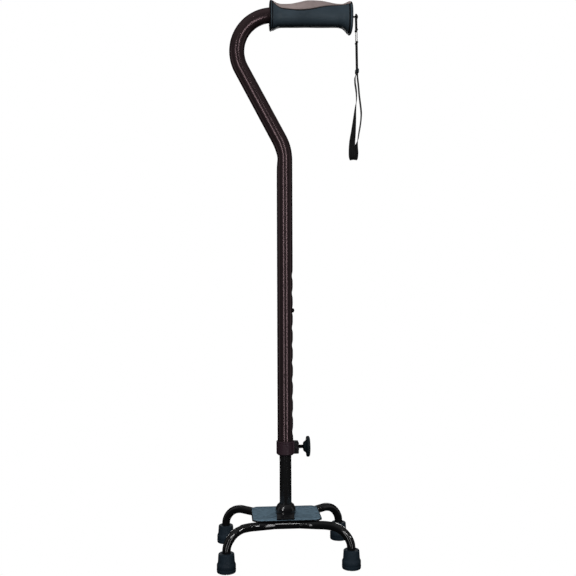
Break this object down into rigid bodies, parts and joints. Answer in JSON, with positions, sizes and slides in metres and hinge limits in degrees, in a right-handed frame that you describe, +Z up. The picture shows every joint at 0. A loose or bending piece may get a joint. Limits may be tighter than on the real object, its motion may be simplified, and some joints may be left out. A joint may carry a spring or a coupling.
{
  "type": "quad walking cane",
  "caption": "Height-adjustable walking cane on a four-footed base, with an offset handle, a clamp collar and a wrist strap.",
  "frame": {"origin": "on the floor, at the shaft's axis and the middle of the four feet", "axes": "+Z up along the shaft, +X towards the free end of the grip, -Y towards the front feet"},
  "size_m": [0.2147, 0.1524, 0.8128],
  "materials": {
    "bronze_tube": "dark bronze gloss paint on aluminium",
    "black_tube": "gloss black paint on aluminium",
    "black_steel": "gloss black powder coat on steel",
    "slate_steel": "satin slate-blue paint",
    "black_oxide": "black oxide on steel",
    "zinc_steel": "zinc plated",
    "brass": "turned",
    "nylon": "moulded black nylon",
    "knob_plastic": "moulded, fine grain",
    "grip_rubber": "moulded slate rubber, fine grain",
    "inlay_rubber": "soft taupe rubber",
    "tip_rubber": "matt dark rubber",
    "webbing": "woven black nylon tape"
  },
  "bodies": {
    "base": {"base_plate": "slate_steel", "hub_socket": "black_steel", "front_leg_bar": "black_steel", "back_leg_bar": "black_steel", "tip_front_left": "tip_rubber", "tip_front_right": "tip_rubber", "tip_back_left": "tip_rubber", "tip_back_right": "tip_rubber", "tip_washer_front_left": "zinc_steel", "tip_washer_front_right": "zinc_steel", "tip_washer_back_left": "zinc_steel", "tip_washer_back_right": "zinc_steel", "inner_tube": "black_tube", "glide_cap": "nylon", "button_spring": "zinc_steel", "tube_insert": "zinc_steel", "hub_washer": "zinc_steel", "hub_bolt": "zinc_steel"},
    "button": {"snap_button": "black_oxide"},
    "handle": {"handle_tube": "bronze_tube", "collar": "bronze_tube", "collar_bush": "nylon", "clamp_nut": "brass", "grip_body": "grip_rubber", "grip_inlay": "inlay_rubber", "end_plug": "nylon", "strap_screw": "black_oxide"},
    "pressure_pad": {"clamp_pad": "nylon"},
    "clamp": {"clamp_screw": "black_oxide", "clamp_knob": "knob_plastic"},
    "strap": {"strap_tab": "webbing", "strap_ring": "zinc_steel", "strap_lead": "webbing", "strap_slider": "knob_plastic", "strap_loop": "webbing"}
  },
  "joints": [
    {"name": "height_slide", "type": "slide", "parent": "base", "child": "handle", "axis": [0, 0, 1], "range_m": [-0.0508, 0.1778], "deforming": ["snap_button"]},
    {"name": "button_press", "type": "slide", "parent": "base", "child": "button", "axis": [-1, 0, 0], "range_m": [0, 0.0045], "stiffness_N_per_m": 500, "springref_m": -0.004, "deforming": ["button_spring"]},
    {"name": "pad_travel", "type": "slide", "parent": "handle", "child": "pressure_pad", "axis": [1, 0, 0], "range_m": [0, 0.0032]},
    {"name": "knob_turn", "type": "hinge", "parent": "pressure_pad", "child": "clamp", "pos_m": [0.0265, 0, 0.1583], "axis": [1, 0, 0], "range_deg": [0, 1080]},
    {"name": "strap_swing", "type": "hinge", "parent": "handle", "child": "strap", "pos_m": [0.1067, 0, 0.7914], "axis": [1, 0, 0], "range_deg": [-85, 85]}
  ],
  "couplings": [
    {"joint": "pad_travel", "follows": "knob_turn", "m_per_rad": 0.00015915}
  ]
}
